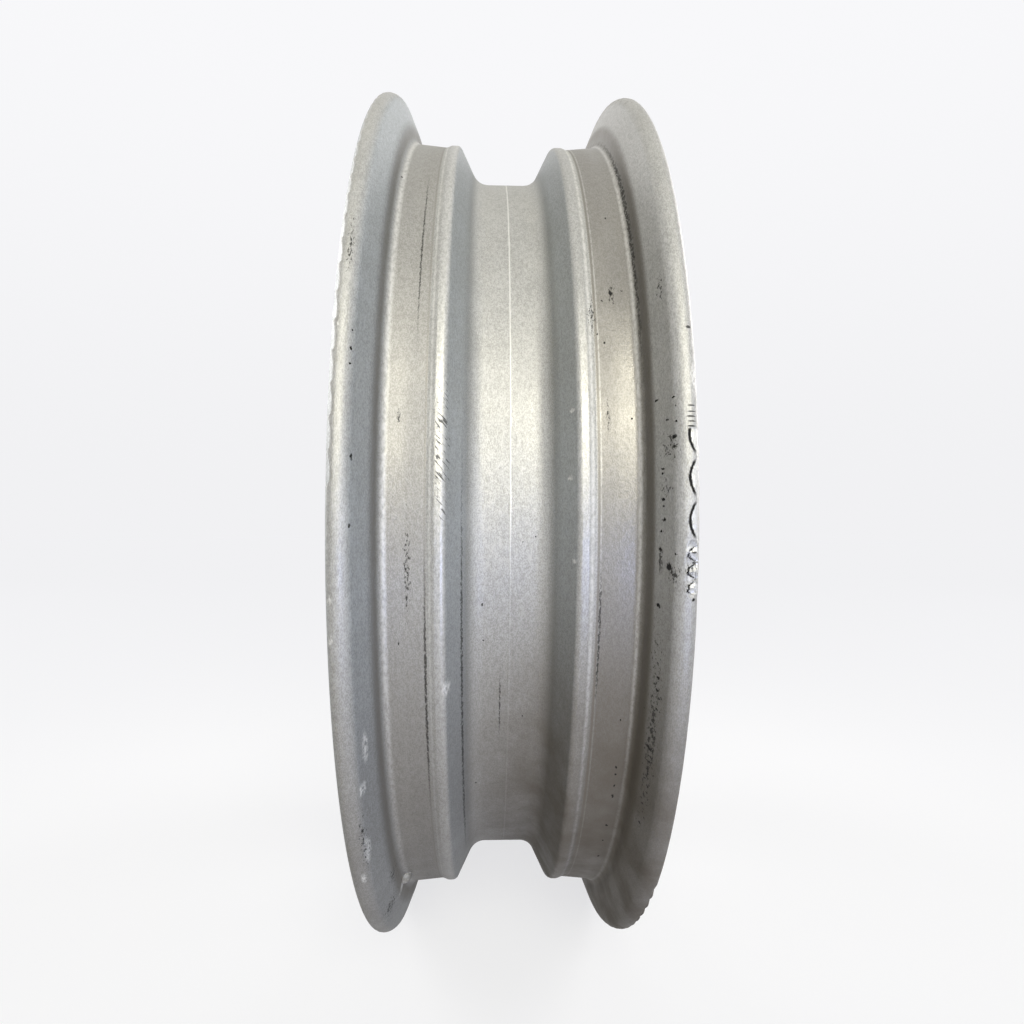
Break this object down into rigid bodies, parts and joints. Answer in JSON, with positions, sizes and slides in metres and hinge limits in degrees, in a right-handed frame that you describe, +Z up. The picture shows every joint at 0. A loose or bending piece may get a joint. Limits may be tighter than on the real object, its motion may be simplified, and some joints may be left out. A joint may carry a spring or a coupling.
{
  "type": "motor scooter wheel rim",
  "caption": "Cast aluminium drop-centre scooter rear wheel rim with six-spoke body, splined hub, brake drum liner and snap-in valve.",
  "frame": {"origin": "centre of the wheel: on its axis, halfway between the two tyre flanges", "axes": "+Y along the axle axis towards the nut end, so the wheel spins about +Y; the brake drum opens towards -Y; +Z up; the picture looks at the tread from +X; the valve is on -X"},
  "size_m": [0.2796, 0.0724, 0.2796],
  "materials": {
    "silver_casting": "satin silver, worn",
    "liner_iron": "bore rubbed bright",
    "bush_steel": "turned and broached",
    "valve_rubber": "matt",
    "valve_brass": "dull",
    "cap_plastic": "matt"
  },
  "bodies": {
    "root": {"wheel_casting": "silver_casting", "brake_liner": "liner_iron", "splined_bush": "bush_steel", "valve_body": "valve_rubber", "valve_stem": "valve_brass", "valve_core": "valve_brass", "valve_cap": "cap_plastic"}
  },
  "joints": []
}
